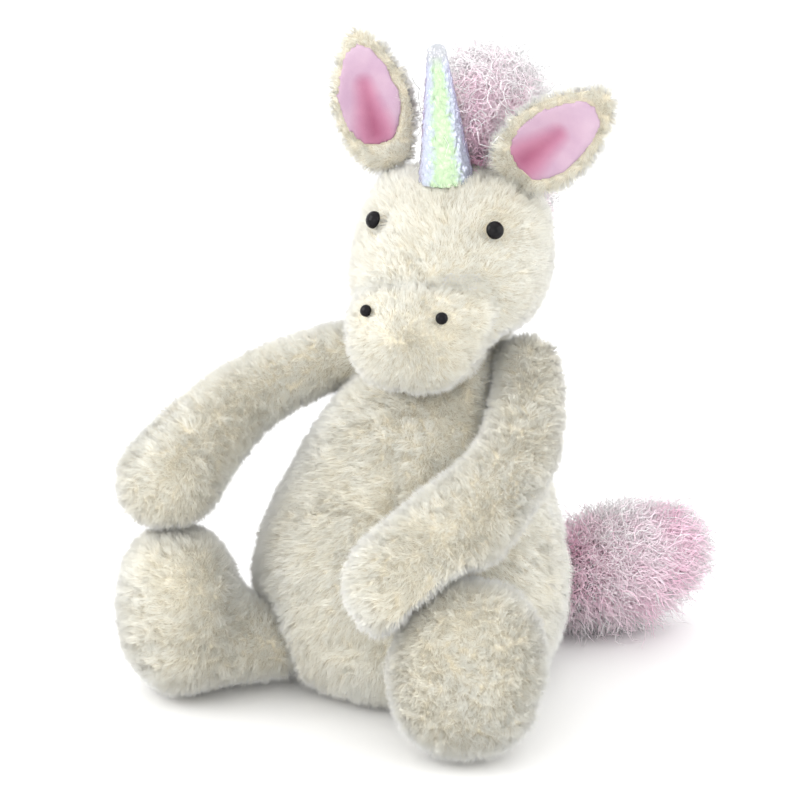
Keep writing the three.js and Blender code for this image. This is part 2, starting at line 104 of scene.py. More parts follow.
def add_studio():
    world = bpy.data.worlds.new("studio")
    world.use_nodes = True
    background = world.node_tree.nodes["Background"]
    background.inputs["Color"].default_value = (1, 1, 1, 1)
    background.inputs["Strength"].default_value = WORLD_STRENGTH
    bpy.context.scene.world = world
    bpy.context.scene.view_settings.view_transform = "Standard"
    bpy.context.scene.view_settings.look = "None"
    add_light("key", (0.5, -1.5, 0.3), 1.2, 4.2)
    add_light("fill", (-0.95, -0.75, 0.8), 0.9, 9.0)
    add_light("rim", (0.95, 0.1, 0.4), 0.8, 2.5)
    mesh = bpy.data.meshes.new("floor")
    half = FLOOR_HALF
    corners = [(-half, -half, 0), (half, -half, 0), (half, half, 0), (-half, half, 0)]
    mesh.from_pydata(corners, [], [(0, 1, 2, 3)])
    floor = bpy.data.objects.new("floor", mesh)
    bpy.context.collection.objects.link(floor)
    floor.location.z = -FLOOR_DROP
    material, shader = plain_material("floor", 0.6)
    shader.inputs["Base Color"].default_value = (0.82, 0.82, 0.82, 1)
    floor.data.materials.append(material)


# ------------------------------------------------------------------ materials


def plain_material(name, roughness):
    material = bpy.data.materials.new(name)
    material.use_nodes = True
    shader = material.node_tree.nodes["Principled BSDF"]
    shader.inputs["Roughness"].default_value = roughness
    return material, shader


def node(tree, kind, **values):
    made = tree.nodes.new(kind)
    for key, value in values.items():
        if key in made.inputs:
            made.inputs[key].default_value = value
        else:
            setattr(made, key, value)
    return made


def noise(tree, scale, detail=3.0, distortion=0.0):
    """A noise in object space. The scale is in waves per metre."""
    place = node(tree, "ShaderNodeTexCoord")
    made = node(tree, "ShaderNodeTexNoise", Scale=scale, Detail=detail, Distortion=distortion)
    tree.links.new(place.outputs["Object"], made.inputs["Vector"])
    return made.outputs["Fac"]


def ramp(tree, factor, stops):
    made = node(tree, "ShaderNodeValToRGB")
    ends = made.color_ramp.elements
    while len(ends) < len(stops):
        ends.new(0.5)
    for element, (place, colour) in zip(ends, stops):
        element.position = place
        element.color = (*colour, 1)
    tree.links.new(factor, made.inputs["Fac"])
    return made.outputs["Color"]


def mix(tree, factor, a, b, blend="MIX"):
    made = tree.nodes.new("ShaderNodeMix")
    made.data_type = "RGBA"
    made.blend_type = blend
    for socket, value in ((made.inputs[0], factor), (made.inputs[6], a), (made.inputs[7], b)):
        if isinstance(value, bpy.types.NodeSocket):
            tree.links.new(value, socket)
        elif isinstance(value, tuple):
            socket.default_value = (*value, 1)
        else:
            socket.default_value = value
    return made.outputs[2]


def attribute(tree, name):
    return node(tree, "ShaderNodeAttribute", attribute_name=name).outputs["Fac"]


def bump(tree, shader, height, strength, distance):
    made = node(tree, "ShaderNodeBump", Strength=strength, Distance=distance)
    tree.links.new(height, made.inputs["Height"])
    tree.links.new(made.outputs["Normal"], shader.inputs["Normal"])


def fabric_material(name, dark, light, patch, roughness=0.95, sheen=0.25):
    """Cloth backing: mottled colour and a fine nap."""
    material, shader = plain_material(name, roughness)
    tree = material.node_tree
    mottled = ramp(tree, noise(tree, 90), [(0.3, dark), (0.7, light)])
    large = ramp(tree, noise(tree, 22), [(0.35, patch), (0.65, (1, 1, 1))])
    colour = mix(tree, 1.0, mottled, large, "MULTIPLY")
    tree.links.new(colour, shader.inputs["Base Color"])
    shader.inputs["Sheen Weight"].default_value = sheen
    bump(tree, shader, noise(tree, 900, 2.0), 0.5, 0.0006)
    return material


def strand_material(name, root, tip, patch, sheen=0.9, tip_noise=None):
    """Pile: the colour runs from root to tip, with strand and patch variation."""
    material, shader = plain_material(name, 0.85)
    tree = material.node_tree
    along = attribute(tree, "along")
    run = ramp(tree, along, [(0.0, root), (0.75, tip)])
    vary = ramp(tree, attribute(tree, "tone"), [(0.0, patch), (0.55, (1, 1, 1))])
    colour = mix(tree, 1.0, run, vary, "MULTIPLY")
    large = ramp(tree, noise(tree, 30, 2.0), [(0.3, tip_noise or patch), (0.62, (1, 1, 1))])
    colour = mix(tree, 1.0, colour, large, "MULTIPLY")
    tree.links.new(colour, shader.inputs["Base Color"])
    shader.inputs["Sheen Weight"].default_value = sheen
    shader.inputs["Sheen Roughness"].default_value = 0.5
    return material


# The cream backing is painted darker than the pile: where it shows between strands, its colour is
# painted shade deep in the fur.
CREAM_SKIN = fabric_material(
    "cream_backing", (0.64, 0.58, 0.44), (0.72, 0.67, 0.53), (0.96, 0.94, 0.91)
)
# The darker, warmer root of the cream pile is painted shade deep in the pile. The patch tones vary
# at random.
CREAM_PILE = strand_material(
    "cream_pile", (0.86, 0.79, 0.63), (0.96, 0.955, 0.855), (0.97, 0.945, 0.89),
    tip_noise=(0.96, 0.935, 0.88),
)
PINK_PILE = strand_material(
    "pink_curls", (0.985, 0.64, 0.80), (1.0, 0.94, 0.97), (0.99, 0.88, 0.93),
    tip_noise=(0.95, 0.60, 0.76),
)
PALE_PILE = strand_material(
    "pale_curls", (0.95, 0.80, 0.87), (0.98, 0.97, 0.975), (0.97, 0.95, 0.96)
)
PINK_SKIN = fabric_material(
    "pink_backing", (0.86, 0.45, 0.62), (0.95, 0.62, 0.76), (0.9, 0.8, 0.85)
)
FIBRE = fabric_material("fibre_filling", (0.80, 0.80, 0.78), (0.9, 0.9, 0.88), (0.95, 0.95, 0.95))
PELLETS = fabric_material("pellet_bag", (0.66, 0.66, 0.63), (0.8, 0.8, 0.77), (0.9, 0.9, 0.9))


def bead_material():
    material, shader = plain_material("eye_bead", 0.08)
    tree = material.node_tree
    colour = ramp(tree, noise(tree, 400, 1.0), [(0.3, (0.004, 0.004, 0.005)),
                                                (0.7, (0.010, 0.009, 0.010))])
    tree.links.new(colour, shader.inputs["Base Color"])
    shader.inputs["Specular IOR Level"].default_value = 0.12
    return material


def washer_material():
    material, shader = plain_material("washer", 0.45)
    tree = material.node_tree
    colour = ramp(tree, noise(tree, 300), [(0.3, (0.62, 0.62, 0.6)), (0.7, (0.72, 0.72, 0.7))])
    tree.links.new(colour, shader.inputs["Base Color"])
    bump(tree, shader, noise(tree, 1500), 0.2, 0.0002)
    return material


def velour_material():
    """Short pink nap: deep rose in the fold at the ear's base, lilac pink further out. The deep
    rose is partly the fabric's own deeper pink and partly painted shade, darkening to a dark
    crimson along the fold and at the ear's root.
    """
    material, shader = plain_material("pink_velour", 0.9)
    tree = material.node_tree
    run = ramp(
        tree,
        attribute(tree, "along"),
        [(0.0, (0.27, 0.06, 0.12)), (0.2, (0.40, 0.17, 0.25)), (0.42, (0.44, 0.30, 0.38)),
         (1.0, (0.47, 0.34, 0.42))],
    )
    patch = ramp(tree, noise(tree, 120), [(0.3, (0.88, 0.84, 0.90)), (0.7, (1, 1, 1))])
    tree.links.new(mix(tree, 1.0, run, patch, "MULTIPLY"), shader.inputs["Base Color"])
    shader.inputs["Sheen Weight"].default_value = 0.1
    bump(tree, shader, noise(tree, 1800, 2.0), 0.4, 0.0004)
    return material


def horn_material():
    """Iridescent film: the colours that its reflection shows toward the camera are painted round
    the horn in fixed bands, broken by its crinkles. This is painted reflection, with green and
    lime on the side that faces the camera. The thin film setting adds real iridescence on top.
    """
    material, shader = plain_material("horn_film", 0.22)
    tree = material.node_tree
    band = attribute(tree, "band")
    broken = node(tree, "ShaderNodeMath", operation="MULTIPLY_ADD")
    tree.links.new(noise(tree, 420, 3.0, 0.6), broken.inputs[0])
    broken.inputs[1].default_value = 0.16
    shifted = node(tree, "ShaderNodeMath", operation="ADD")
    tree.links.new(band, shifted.inputs[0])
    shifted.inputs[1].default_value = -0.08
    tree.links.new(shifted.outputs[0], broken.inputs[2])
    lilac, ice = (0.40, 0.38, 0.54), (0.46, 0.50, 0.60)
    green, lime = (0.42, 0.58, 0.36), (0.48, 0.62, 0.40)
    rose, gold = (0.55, 0.44, 0.50), (0.56, 0.53, 0.40)
    colour = ramp(
        tree,
        broken.outputs[0],
        [(0.0, rose), (0.12, ice), (0.25, lilac), (0.38, ice), (0.44, green), (0.5, lime),
         (0.55, green), (0.6, ice), (0.72, lilac), (0.82, gold), (1.0, rose)],
    )
    place = node(tree, "ShaderNodeTexCoord")
    cells = node(tree, "ShaderNodeTexVoronoi", feature="DISTANCE_TO_EDGE", Scale=420)
    tree.links.new(place.outputs["Object"], cells.inputs["Vector"])
    lines = ramp(tree, cells.outputs["Distance"], [(0.0, (0.62, 0.66, 0.66)), (0.07, (1, 1, 1))])
    broken_lines = mix(tree, noise(tree, 160), (1, 1, 1), lines)
    colour = mix(tree, 1.0, colour, broken_lines, "MULTIPLY")
    glitter = ramp(tree, noise(tree, 1500, 1.0), [(0.6, (0, 0, 0)), (0.68, (1, 1, 1))])
    top = ramp(tree, attribute(tree, "along"), [(0.82, (0, 0, 0)), (0.93, (1, 1, 1))])
    colour = mix(tree, top, colour, mix(tree, glitter, (0.42, 0.43, 0.46), (0.66, 0.64, 0.7)))
    tree.links.new(colour, shader.inputs["Base Color"])
    bump(tree, shader, cells.outputs["Distance"], 0.35, 0.0006)
    shader.inputs["Metallic"].default_value = 0.45
    shader.inputs["Coat Weight"].default_value = 0.5
    shader.inputs["Coat Roughness"].default_value = 0.12
    shader.inputs["Thin Film Thickness"].default_value = 420
    shader.inputs["Thin Film IOR"].default_value = 1.45
    return material


BEAD = bead_material()
WASHER = washer_material()
VELOUR = velour_material()
HORN_FILM = horn_material()


# ------------------------------------------------------------------ mesh helpers


def mesh_object(name, verts, faces):
    mesh = bpy.data.meshes.new(name)
    mesh.from_pydata([tuple(v) for v in verts], [], [tuple(f) for f in faces])
    mesh.update()
    mesh.polygons.foreach_set("use_smooth", [True] * len(mesh.polygons))
    made = bpy.data.objects.new(name, mesh)
    bpy.context.collection.objects.link(made)
    return made


def points_of(obj):
    co = np.empty(len(obj.data.vertices) * 3)
    obj.data.vertices.foreach_get("co", co)
    return co.reshape(-1, 3)


def normals_of(obj):
    normals = np.empty(len(obj.data.vertices) * 3, np.float32)
    obj.data.vertex_normals.foreach_get("vector", normals)
    return normals.reshape(-1, 3).astype(float)


def set_points(obj, co):
    obj.data.vertices.foreach_set("co", np.ascontiguousarray(co, float).ravel())
    obj.data.update()


def triangles_of(obj):
    obj.data.calc_loop_triangles()
    tris = np.empty(len(obj.data.loop_triangles) * 3, np.int32)
    obj.data.loop_triangles.foreach_get("vertices", tris)
    return tris.reshape(-1, 3)


def edges_of(obj):
    edges = np.empty(len(obj.data.edges) * 2, np.int32)
    obj.data.edges.foreach_get("vertices", edges)
    return edges.reshape(-1, 2)


def unit(v):
    return v / np.maximum(np.linalg.norm(v, axis=-1, keepdims=True), 1e-12)


def apply_modifiers(obj):
    depsgraph = bpy.context.evaluated_depsgraph_get()
    fresh = bpy.data.meshes.new_from_object(obj.evaluated_get(depsgraph))
    obj.modifiers.clear()
    old = obj.data
    obj.data = fresh
    bpy.data.meshes.remove(old)


def relax(obj, rounds, weight=0.5, back=0.0):
    """Evens out the points; back > 0 returns some of the size that this loses."""
    co, edges = points_of(obj), edges_of(obj)
    count = np.bincount(edges.ravel(), minlength=len(co))[:, None]
    for step in range(rounds):
        for w in (weight, -back) if back else (weight,):
            total = np.zeros_like(co)
            np.add.at(total, edges[:, 0], co[edges[:, 1]])
            np.add.at(total, edges[:, 1], co[edges[:, 0]])
            co = co + w * (total / count - co)
    set_points(obj, co)


def keep_largest(obj):
    """Only the outer shell of a remeshed piece is kept."""
    bm = bmesh.new()
    bm.from_mesh(obj.data)
    bm.verts.ensure_lookup_table()
    seen, shells = set(), []
    for start in bm.verts:
        if start.index in seen:
            continue
        stack, shell = [start], []
        seen.add(start.index)
        while stack:
            vert = stack.pop()
            shell.append(vert)
            for edge in vert.link_edges:
                other = edge.other_vert(vert)
                if other.index not in seen:
                    seen.add(other.index)
                    stack.append(other)
        shells.append(shell)
    largest = max(shells, key=len)
    bmesh.ops.delete(bm, geom=[v for s in shells if s is not largest for v in s], context="VERTS")
    bm.to_mesh(obj.data)
    bm.free()


def grown_from(name, cad_nodes, voxel):
    """One closed skin around some CAD nodes."""
    verts, faces = [], []
    for cad in cad_nodes:
        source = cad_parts[cad]
        start = len(verts)
        verts.extend(map(tuple, points_of(source)))
        faces.extend((triangles_of(source) + start).tolist())
    skin = mesh_object(name, verts, faces)
    remesh = skin.modifiers.new("remesh", "REMESH")
    remesh.mode = "VOXEL"
    remesh.voxel_size = voxel
    apply_modifiers(skin)
    keep_largest(skin)
    skin.data.polygons.foreach_set("use_smooth", [True] * len(skin.data.polygons))
    return skin


def puff(skin, pressure, cap):
    """The stuffing swells the skin a little, as cloth, with each point's travel capped."""
    before = points_of(skin)
    cloth = skin.modifiers.new("cloth", "CLOTH")
    settings = cloth.settings
    settings.quality = 4
    settings.mass = 0.3
    settings.use_pressure = True
    settings.uniform_pressure_force = pressure
    settings.tension_stiffness = 12
    settings.compression_stiffness = 12
    settings.shear_stiffness = 6
    settings.bending_stiffness = 0.6
    settings.effector_weights.gravity = 0
    cloth.collision_settings.use_collision = False
    scene = bpy.context.scene
    for step in range(1, CLOTH_STEPS + 1):
        scene.frame_set(step)
    apply_modifiers(skin)
    scene.frame_set(1)
    travel = points_of(skin) - before
    size = np.linalg.norm(travel, axis=1, keepdims=True)
    set_points(skin, before + travel * np.minimum(1, cap / np.maximum(size, 1e-9)))


def subdivide(skin, levels=1):
    modifier = skin.modifiers.new("smooth", "SUBSURF")
    modifier.levels = modifier.render_levels = levels
    apply_modifiers(skin)
    skin.data.polygons.foreach_set("use_smooth", [True] * len(skin.data.polygons))


def waves(co, scale, seed, count=10):
    """A smooth random field from -1 to 1 over points; the scale is in waves per metre."""
    rng = np.random.default_rng(seed)
    total = np.zeros(len(co))
    for _ in range(count):
        direction = unit(rng.normal(size=3))
        size = scale * rng.uniform(0.6, 1.6) * 2 * math.pi
        total += np.sin(co @ direction * size + rng.uniform(0, 2 * math.pi))
    return total / math.sqrt(count)


def bvh_of(obj):
    return BVHTree.FromPolygons(points_of(obj).tolist(), triangles_of(obj).tolist())


def inside_depth(skin, points):
    """How deep each point is inside a closed skin; zero outside."""
    co, tree = points_of(skin), bvh_of(skin)
    low, high = co.min(0), co.max(0)
    depth = np.zeros(len(points))
    ray = Vector((0.31, 0.52, 0.79)).normalized()
    for i in np.flatnonzero(((points > low) & (points < high)).all(1)):
        start, crossings = Vector(points[i]), 0
        place, _, _, _ = tree.ray_cast(start, ray)
        while place is not None:
            crossings += 1
            place, _, _, _ = tree.ray_cast(place + ray * 1e-6, ray)
        if crossings % 2:
            depth[i] = tree.find_nearest(start)[3]
    return depth


# ------------------------------------------------------------------ strands


def strand_mesh(name, rows, run, radii, side, shade, tone):
    """Tapered three-sided strands through rows of points, (levels, strands, 3), root to tip."""
    levels, count = rows.shape[:2]
    per = 3 * (levels - 1) + 1
    verts = np.empty((count, per, 3))
    normals = np.empty((count, per, 3))
    along = np.empty((count, per))
    for level in range(levels - 1):
        course = unit(rows[level + 1] - rows[level])
        side = unit(side - course * (side * course).sum(1, keepdims=True))
        up = np.cross(course, side)
        for k in range(3):
            turn = 2 * math.pi * k / 3
            corner = (math.cos(turn) * side + math.sin(turn) * up) * radii[level][:, None]
            verts[:, 3 * level + k] = rows[level] + corner
            normals[:, 3 * level + k] = shade[level]
            along[:, 3 * level + k] = run[level]
    verts[:, -1], normals[:, -1], along[:, -1] = rows[-1], shade[-1], run[-1]
    quads, tips = [], []
    for k in range(3):
        after = (k + 1) % 3
        for level in range(levels - 2):
            low, high = 3 * level, 3 * level + 3
            quads.append([low + k, low + after, high + after, high + k])
        tips.append([3 * (levels - 2) + k, 3 * (levels - 2) + after, per - 1])
    pattern = np.array([*np.ravel(quads), *np.ravel(tips)], np.int64)
    sizes = np.tile([4] * len(quads) + [3] * len(tips), count)
    loops = ((np.arange(count) * per)[:, None] + pattern).ravel().astype(np.int32)
    starts = np.concatenate([[0], np.cumsum(sizes)[:-1]]).astype(np.int32)
    mesh = bpy.data.meshes.new(name)
    mesh.vertices.add(count * per)
    mesh.vertices.foreach_set("co", verts.ravel())
    mesh.loops.add(loops.size)
    mesh.loops.foreach_set("vertex_index", loops)
    mesh.polygons.add(len(sizes))
    mesh.polygons.foreach_set("loop_start", starts)
    mesh.polygons.foreach_set("use_smooth", [True] * len(sizes))
    mesh.update(calc_edges=True)
    mesh.normals_split_custom_set_from_vertices(normals.reshape(-1, 3).tolist())
    for key, values in (("along", along.ravel()), ("tone", np.repeat(tone, per))):
        made = mesh.attributes.new(key, "FLOAT", "POINT")
        made.data.foreach_set("value", values.astype(np.float32))
    spread_uvs(mesh, along, loops)
    made = bpy.data.objects.new(name, mesh)
    bpy.context.collection.objects.link(made)
    return made


def spread_uvs(mesh, along, loops):
    """Each strand has its own cell of the UV square, so its colours can be baked."""
    count, per = along.shape
    grid = math.ceil(math.sqrt(count))
    cell = np.arange(count)
    corner = np.stack([cell % grid, cell // grid], axis=1)
    across = np.append(np.tile([0.15, 0.5, 0.85], per // 3), 0.5)
    inner = np.stack([np.tile(across, (count, 1)), 0.15 + 0.7 * along], axis=2)
    uv = (corner[:, None, :] + inner) / grid
    layer = mesh.uv_layers.new(name="OFBake")
    layer.data.foreach_set("uv", uv.reshape(-1, 2)[loops].astype(np.float32).ravel())


def in_parts(name, body, material, rows, run, radii, side, shade, tone):
    """Splits a large set of strands into a few objects, and rides them on their body."""
    levels, count = rows.shape[:2]
    each = MOST_FACES // (6 * (levels - 2) + 3)
    parts = math.ceil(count / each)
    for part in range(parts):
        some = slice(part, None, parts)
        label = name if parts == 1 else f"{name}_{part + 1}"
        strands = strand_mesh(
            label, rows[:, some], run[:, some], [r[some] for r in radii], side[some],
            [n[some] for n in shade], tone[some],
        )
        strands.data.materials.append(material)
        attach(strands, body)


def scatter(skin, count, rng):
    """Even random points on a skin with their smooth normals."""
    co, tris, normals = points_of(skin), triangles_of(skin), normals_of(skin)
    a, b, c = co[tris[:, 0]], co[tris[:, 1]], co[tris[:, 2]]
    area = np.linalg.norm(np.cross(b - a, c - a), axis=1) / 2
    pick = rng.choice(len(tris), size=count, p=area / area.sum())
    u, v = rng.random(count), rng.random(count)
    flip = u + v > 1
    u[flip], v[flip] = 1 - u[flip], 1 - v[flip]
    w = 1 - u - v
    t = tris[pick]
    place = w[:, None] * co[t[:, 0]] + u[:, None] * co[t[:, 1]] + v[:, None] * co[t[:, 2]]
    normal = (
        w[:, None] * normals[t[:, 0]]
        + u[:, None] * normals[t[:, 1]]
        + v[:, None] * normals[t[:, 2]]
    )
    return place, unit(normal)


def area_of(skin):
    co, tris = points_of(skin), triangles_of(skin)
    a, b, c = co[tris[:, 0]], co[tris[:, 1]], co[tris[:, 2]]
    return float(np.linalg.norm(np.cross(b - a, c - a), axis=1).sum() / 2)


def nearest(points, targets):
    tree = kdtree.KDTree(len(targets))
    for i, p in enumerate(targets):
        tree.insert(p, i)
    tree.balance()
    return np.array([tree.find(p)[1] for p in points])


def pile(name, body, skin, kind, comb, seed, keep=None, shorter=None, clump=0.5):
    """Fur on a skin. comb(points) gives the lay; keep and shorter thin and trim it."""
    rng = np.random.default_rng(seed)
    count = int(area_of(skin) * 1e6 * kind["density"])
    root, normal = scatter(skin, count, rng)
    if keep is not None:
        chosen = keep(root)
        root, normal = root[chosen], normal[chosen]
    count = len(root)
    if count < FEWEST_STRANDS:
        return
    length = kind["length"] * MM * rng.uniform(0.75, 1.1, count)
    if shorter is not None:
        length = length * shorter(root)
    lay = comb(root)
    swirl = np.stack([waves(root, 28, seed + k) for k in (1, 2, 3)], axis=1)
    centres = rng.choice(count, max(8, count // STRANDS_PER_TUFT), replace=False)
    own = centres[nearest(root, root[centres])]
    tuft = rng.normal(size=(count, 3))[own]
    length = length * rng.uniform(0.85, 1.2, count)[own]
    lay = lay + 0.3 * swirl + 0.5 * tuft + 0.3 * rng.normal(size=(count, 3))
    lay = lay - normal * (lay * normal).sum(1, keepdims=True)
    lift = 0.9 + 0.2 * waves(root, 60, seed + 9)[:, None]
    loose = 0.26 * rng.normal(size=(count, 3))
    direction = unit(normal * lift + 0.6 * unit(lay) + loose)
    tip = root + direction * length[:, None]
    jitter = unit(direction[own] + 0.35 * rng.normal(size=(count, 3)) * 0.5)
    gathered = root[own] + jitter * length[own][:, None]
    pull = clump * rng.uniform(0.2, 1.0, (count, 1)) ** 1.5
    tip = tip * (1 - pull) + gathered * pull
    tip[:, 2] = np.maximum(tip[:, 2], 0.3 * MM + 0.5 * MM * rng.random(count))
    course = unit(tip - root)
    radius = kind["width"] * MM / 2 * rng.uniform(0.8, 1.2, count)
    shade = unit(normal + 0.3 * course + 0.12 * rng.normal(size=(count, 3)))
    foot = root - normal * 0.5 * MM
    foot[:, 2] = np.maximum(foot[:, 2], 0.2 * MM)
    rows = np.stack([foot, tip])
    run = np.stack([np.zeros(count), np.ones(count)])
    tone = rng.random(count)[own]
    tone = 0.55 * tone + 0.45 * rng.random(count)
    side = unit(np.cross(course, normal) + 0.2 * rng.normal(size=(count, 3)))
    in_parts(name, body, CREAM_PILE, rows, run, [radius], side, [shade] * 2, tone)


def combed(direction):
    """A lay in one direction."""
    lay = np.array(direction, float)

    def at(points):
        return np.tile(lay, (len(points), 1))

    return at


# ------------------------------------------------------------------ skins of the bodies


def stuffed_skin(name, cad_nodes, voxel, pressure, cap):
    skin = grown_from(name, cad_nodes, voxel * MM)
    relax(skin, 6, 0.5, 0.42)
    set_points(skin, points_of(skin) - normals_of(skin) * PILE_DEPTH * MM)
    relax(skin, 2, 0.4)
    puff(skin, pressure, cap * MM)
    subdivide(skin)
    skin.data.materials.clear()
    skin.data.materials.append(CREAM_SKIN)
    return skin


def dent(skin, centre, radius, depth):
    """Pulls the skin in around a point, or pushes it out when the depth is negative."""
    co, normals = points_of(skin), normals_of(skin)
    distance = np.linalg.norm(co - np.array(centre) * MM, axis=1) / (radius * MM)
    weight = np.exp(-2 * distance**2)[:, None]
    set_points(skin, co - normals * weight * depth * MM)


def path_distance(points, path):
    """Distance from points to a polyline, all in metres."""
    best = np.full(len(points), 1e9)
    for a, b in zip(path[:-1], path[1:]):
        along = b - a
        t = np.clip((points - a) @ along / max(along @ along, 1e-12), 0, 1)
        best = np.minimum(best, np.linalg.norm(points - (a + t[:, None] * along), axis=1))
    return best


def seam(skin, path, width=2.5, depth=1.6):
    """A sewn line: the skin dips along a path laid on it."""
    line = np.array(path, float) * MM
    co, normals = points_of(skin), normals_of(skin)
    weight = np.exp(-((path_distance(co, line) / (width * MM)) ** 2))[:, None]
    set_points(skin, co - normals * weight * depth * MM)
    return line


def along_path(path):
    """A lay that follows the nearest stretch of a limb's path, given in millimetres."""
    line = np.array(path, float) * MM
    middles = (line[1:] + line[:-1]) / 2
    courses = unit(line[1:] - line[:-1])

    def at(points):
        apart = np.linalg.norm(points[:, None, :] - middles[None], axis=2)
        weight = np.exp(-((apart / 0.025) ** 2)) + 1e-9
        return unit((weight[:, :, None] * courses[None]).sum(1))

    return at


def near_path(path, width, least=0.55):
    """Pile shorter along a seam, with the path in metres."""

    def at(points):
        return 1 - (1 - least) * np.exp(-((path_distance(points, path) / (width * MM)) ** 2))

    return at


ARM_PATHS = {
    "right": [(-25, 18, 134), (-43, 11, 131), (-60, -3, 124), (-72, -20, 115), (-79, -41, 102),
              (-83, -60, 89)],
    "left": [(44, 20, 136), (52, 3, 123), (59.5, -29, 104), (49, -60, 88), (37, -77, 70)],
}
LEG_PATHS = {
    "right": [(-44, -41, 18.5), (-60, -54, 28), (-75, -72, 36), (-84, -92, 40)],
    "left": [(40, -42, 18.5), (50, -56, 28), (62, -76, 36), (68, -98, 38)],
}
EARS = {
    "right": {"base": (-23, 22, 219), "tip": (-39, 25, 269)},
    "left": {"base": (37, 20, 217), "tip": (75, 20, 247)},
}
NOSE = (9, -36, 155)

# The ear's root is drawn down into the head's pile, over this share of its length
EAR_TUCK = 5.5
EAR_TUCK_SHARE = 0.3

# Sewn lines and creases, in millimetres on the CAD surface: the path, then width and depth
MUZZLE_CREASE = [
    (-21, -13, 165), (-19, -17.7, 169.7), (-13.6, -20.8, 173.4), (-4.2, -23.8, 176.2),
    (7.6, -24.6, 177.1), (18.1, -23.2, 177.9), (29.6, -19.5, 177.9), (37.8, -15.3, 176.2),
    (43.2, -10.8, 171.8), (45.3, -7.6, 164), (44, -7.4, 154.3), (40.7, -11.4, 145.2),
    (34, -10, 137),
]
SIDE_SEAM = [(40, 20, 120), (50, 18, 100), (61, 13.6, 72), (66.6, 3.3, 58.5), (69, -3.3, 34.7),
             (64, -4, 8)]
SEAMS = {
    "torso": [
        ([(6, -26, 122), (9.4, -32.7, 106.7), (14.6, -41.1, 90.7), (16.5, -50, 75),
          (17.5, -58, 50), (17, -60.7, 28.4), (15, -57, 8)], 3.2, 2.4),
        (SIDE_SEAM, 3.0, 2.0),
        ([(-x, y, z) for x, y, z in SIDE_SEAM], 3.0, 2.0),
        ([(4, 36, 128), (3, 50, 100), (1, 60, 70), (0, 62, 40), (0, 60, 8)], 3.0, 2.0),
    ],
    "head": [
        (MUZZLE_CREASE, 4.6, 3.2),
        ([(10, -4, 205), (10, -16, 190), (10, -25, 177)], 3.5, 0.9),
        ([(10, -37, 163), (10, -39, 152), (10, -36, 140), (10, -28, 130)], 3.0, 0.9),
    ],
    "right_leg": [
        ([(-73.6, -75.7, 69.6), (-67.7, -90.5, 58.1), (-64.3, -95, 42.6), (-62.5, -94.8, 30.3),
          (-63, -91, 15.8)], 3.0, 1.8),
        ([(-76.3, -93.9, 25.3), (-62.7, -94.5, 28), (-52.1, -86.5, 27.1), (-45.4, -70.5, 22),
          (-36.3, -58.6, 18.4)], 3.4, 2.2),
    ],
    "left_leg": [
        ([(46, -92, 60), (43, -95.5, 42), (46, -95.5, 28), (54, -95, 12)], 3.0, 1.4),
        ([(83, -88, 30), (88, -70, 26), (78, -52, 22)], 3.2, 1.8),
    ],
    "left_arm": [
        ([(54, 15.3, 146.2), (62.6, 3, 135.3), (69.2, -23.5, 122), (68.7, -50.6, 108.9),
          (60.5, -77.8, 91.7)], 3.0, 1.6),
    ],
    "right_arm": [
        ([(-40, 10, 147), (-60, -6, 140), (-76, -26, 130), (-84, -46, 118), (-86, -64, 108)],
         3.0, 1.6),
    ],
}


# ------------------------------------------------------------------ torso, head, limbs

torso_skin = stuffed_skin(
    "torso_skin", ["torso_cover", "torso_stuffing", "seat_pellet_bag"], 4, 4, 2.0
)
head_skin = stuffed_skin("head_skin", ["head_cover", "head_stuffing"], 3.2, 3, 0.8)
limb_skins = {}
for side in ("left", "right"):
    limb_skins[f"{side}_arm"] = stuffed_skin(
        f"{side}_arm_skin", [f"{side}_arm_cover", f"{side}_arm_stuffing"], 4, 3, 1.2
    )
    limb_skins[f"{side}_leg"] = stuffed_skin(
        f"{side}_leg_skin",
        [f"{side}_leg_cover", f"{side}_leg_stuffing", f"{side}_foot_pellet_bag"],
        4,
        3,
        1.2,
    )

# The neck's ball is covered in the same fabric, so no filling shows between head and torso
NECK_INSET = 1.0
neck_skin = grown_from("neck_skin", ["neck_stuffing"], 2.5 * MM)
relax(neck_skin, 4, 0.5, 0.42)
set_points(neck_skin, points_of(neck_skin) - normals_of(neck_skin) * NECK_INSET * MM)
neck_skin.data.materials.append(CREAM_SKIN)
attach(neck_skin, "neck")
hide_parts("neck_stuffing")

# Fuller spots, in millimetres: the crown under each ear, the muzzle, the shoulder
# and the left paw
dent(head_skin, (-21, 20, 207), 15, -3.4)
dent(head_skin, (36, 18, 207), 15, -2.6)
dent(head_skin, (10, -22, 158), 20, -2.0)
dent(torso_skin, (28, 8, 138), 16, -2.5)
dent(limb_skins["left_arm"], (36, -77, 69.5), 20, -2.2)

skins = {"torso": torso_skin, "head": head_skin, **limb_skins}
for body, skin in skins.items():
    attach(skin, body)
    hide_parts(f"{body}_cover")


def sew(body):
    """Presses every seam of a body into its skin, and gives the pile's length beside them."""
    lines = [(seam(skins[body], path, width, depth), width)
             for path, width, depth in SEAMS[body]]

    def trimmed(points):
        size = np.ones(len(points))
        for line, width in lines:
            size = np.minimum(size, near_path(line, 0.9 * width, 0.86)(points))
        return size

    return trimmed


trims = {body: sew(body) for body in SEAMS}


# ------------------------------------------------------------------ eyes and nostrils


# Beads, in millimetres: how deep they sit, then each kind's height and radius
BEAD_SINK = 1.8
EYE_DOME = (2.9, 3.7)
NOSTRIL_DOME = (2.0, 2.5)


